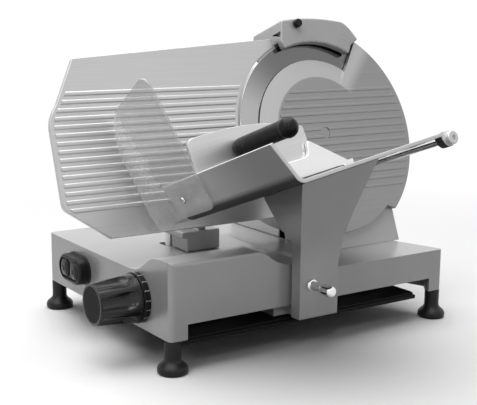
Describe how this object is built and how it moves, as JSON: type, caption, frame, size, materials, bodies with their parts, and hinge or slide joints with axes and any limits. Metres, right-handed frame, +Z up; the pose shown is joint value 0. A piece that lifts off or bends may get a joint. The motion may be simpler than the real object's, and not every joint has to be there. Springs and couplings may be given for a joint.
{
  "type": "electric gravity feed meat slicer",
  "caption": "Electric slicer: inclined round blade, ribbed gauge plate set by a dial, sliding tray with toothed pusher and clear guard, and a built-in sharpener.",
  "frame": {"origin": "centre of the bounding box's footprint, on the surface that the feet stand on", "axes": "+X to the right along the carriage's travel, +Y away from the operator's side, +Z up"},
  "size_m": [0.617, 0.54, 0.4536],
  "materials": {
    "cast_aluminium": "satin cast and polished aluminium",
    "brushed_aluminium": "brushed anodised aluminium",
    "drawn_aluminium": "drawn aluminium can",
    "blade_steel": "ground hardened steel",
    "ground_steel": "ground steel",
    "bearing_steel": "ground bearing steel",
    "polished_steel": "polished stainless steel",
    "bronze": "machined bronze",
    "painted_sheet": "black painted sheet steel",
    "motor_paint": "grey motor enamel",
    "foot_rubber": "matt black rubber",
    "belt_rubber": "ribbed belt rubber",
    "black_plastic": "black phenolic and nylon mouldings",
    "scale_ring_plastic": "satin black plastic with plain white numbers",
    "stop_button_plastic": "black booted push button",
    "start_button_plastic": "dark booted push button",
    "abrasive_stone": "grey abrasive",
    "clear_plastic": "clear bent plastic sheet"
  },
  "bodies": {
    "base": {"base_housing": "cast_aluminium", "bottom_plate": "painted_sheet", "foot_front_left": "foot_rubber", "foot_front_right": "foot_rubber", "foot_rear_left": "foot_rubber", "foot_rear_right": "foot_rubber", "switch_housing": "black_plastic", "cable_gland": "black_plastic", "run_capacitor": "drawn_aluminium", "carriage_rod": "ground_steel", "carriage_bar": "ground_steel", "gauge_guide_rod": "ground_steel", "blade_housing": "cast_aluminium", "housing_rear_cover": "brushed_aluminium", "bearing_front": "bearing_steel", "bearing_rear": "bearing_steel", "drive_belt": "belt_rubber", "motor_body": "motor_paint", "motor_shroud": "brushed_aluminium", "blade_cover": "brushed_aluminium", "sharpener_post": "ground_steel"},
    "stop_button": {"stop_button": "stop_button_plastic"},
    "start_button": {"start_button": "start_button_plastic"},
    "dial": {"thickness_knob": "black_plastic", "scale_ring": "scale_ring_plastic", "knob_shaft": "ground_steel", "gauge_cam": "bronze"},
    "gauge": {"gauge_slider": "cast_aluminium", "gauge_post": "ground_steel", "gauge_support": "cast_aluminium", "gauge_plate": "brushed_aluminium"},
    "blade": {"blade": "blade_steel", "blade_spindle": "ground_steel", "blade_pulley": "cast_aluminium"},
    "rotor": {"motor_shaft": "ground_steel", "motor_pulley": "cast_aluminium"},
    "cover_bolt": {"cover_tie_rod": "ground_steel", "cover_knob": "black_plastic"},
    "sharpener": {"sharpener_body": "cast_aluminium"},
    "sharpener_screw": {"sharpener_knob": "black_plastic"},
    "grinding_button": {"grinding_button": "black_plastic"},
    "grinding_stone": {"grinding_stone": "abrasive_stone"},
    "deburring_button": {"deburring_button": "black_plastic"},
    "deburring_stone": {"deburring_stone": "abrasive_stone"},
    "carriage": {"carriage_block": "cast_aluminium", "bushing_left": "bronze", "bushing_right": "bronze", "carriage_arm": "cast_aluminium", "product_tray": "brushed_aluminium", "hand_guard": "clear_plastic", "guard_screw": "black_plastic", "pusher_rod": "polished_steel", "pusher_rod_nut": "black_plastic"},
    "roller": {"bar_roller": "bearing_steel"},
    "lock_knob": {"tray_lock_knob": "polished_steel"},
    "pusher_slider": {"pusher_bush": "black_plastic"},
    "pusher": {"pusher_plate": "brushed_aluminium", "pusher_arm": "polished_steel", "pusher_handle": "black_plastic"}
  },
  "joints": [
    {"name": "stop_press", "type": "slide", "parent": "base", "child": "stop_button", "axis": [1, 0, 0], "range_m": [0, 0.003], "stiffness_N_per_m": 400},
    {"name": "start_press", "type": "slide", "parent": "base", "child": "start_button", "axis": [1, 0, 0], "range_m": [0, 0.003], "stiffness_N_per_m": 400},
    {"name": "gauge_slide", "type": "slide", "parent": "base", "child": "gauge", "axis": [0, 1, 0], "range_m": [0, 0.016]},
    {"name": "knob_turn", "type": "hinge", "parent": "base", "child": "dial", "pos_m": [-0.2195, -0.03331, 0.086], "axis": [1, 0, 0], "range_deg": [0, 330]},
    {"name": "blade_spin", "type": "hinge", "parent": "base", "child": "blade", "pos_m": [0.1365, 0.02669, 0.278], "axis": [0, 0.9421, -0.3355], "continuous": true},
    {"name": "motor_spin", "type": "hinge", "parent": "base", "child": "rotor", "pos_m": [0.1505, -0.01155, 0.17061], "axis": [0, 0.9421, -0.3355], "continuous": true},
    {"name": "cover_knob_turn", "type": "hinge", "parent": "base", "child": "cover_bolt", "pos_m": [0.1365, 0.02669, 0.278], "axis": [0, 0.9421, -0.3355], "continuous": true},
    {"name": "sharpener_lift", "type": "slide", "parent": "base", "child": "sharpener", "axis": [0, 0.3355, 0.9421], "range_m": [0, 0.025]},
    {"name": "sharpener_knob_turn", "type": "hinge", "parent": "sharpener", "child": "sharpener_screw", "pos_m": [0.1135, 0.08405, 0.43909], "axis": [0, 0.9421, -0.3355], "continuous": true},
    {"name": "grinding_press", "type": "slide", "parent": "sharpener", "child": "grinding_button", "axis": [0, -0.9421, 0.3355], "range_m": [0, 0.0038], "stiffness_N_per_m": 400},
    {"name": "grinding_spin", "type": "hinge", "parent": "grinding_button", "child": "grinding_stone", "pos_m": [0.10597, 0.07938, 0.42596], "axis": [0, 0.9421, -0.3355], "continuous": true},
    {"name": "deburring_pull", "type": "slide", "parent": "sharpener", "child": "deburring_button", "axis": [0, 0.9421, -0.3355], "range_m": [0, 0.0042], "stiffness_N_per_m": 400},
    {"name": "deburring_spin", "type": "hinge", "parent": "deburring_button", "child": "deburring_stone", "pos_m": [0.20158, 0.07572, 0.4157], "axis": [0, 0.9421, -0.3355], "continuous": true},
    {"name": "carriage_slide", "type": "slide", "parent": "base", "child": "carriage", "axis": [1, 0, 0], "range_m": [-0.15, 0.18]},
    {"name": "roller_spin", "type": "hinge", "parent": "carriage", "child": "roller", "pos_m": [0.0045, -0.05731, 0.0643], "axis": [0, 1, 0], "continuous": true},
    {"name": "tray_lock_turn", "type": "hinge", "parent": "carriage", "child": "lock_knob", "pos_m": [-0.0125, -0.11531, 0.098], "axis": [0, 1, 0], "continuous": true},
    {"name": "pusher_slide", "type": "slide", "parent": "carriage", "child": "pusher_slider", "axis": [0, -0.9421, 0.3355], "range_m": [-0.036, 0.15]},
    {"name": "pusher_swing", "type": "hinge", "parent": "pusher_slider", "child": "pusher", "pos_m": [0.11838, 0.00267, 0.21054], "axis": [0, 0.9421, -0.3355], "range_deg": [0, 100]}
  ],
  "couplings": [
    {"joint": "knob_turn", "follows": "gauge_slide", "rad_per_m": 359.97},
    {"joint": "motor_spin", "follows": "blade_spin", "ratio": 2.9333},
    {"joint": "roller_spin", "follows": "carriage_slide", "rad_per_m": 166.67}
  ]
}
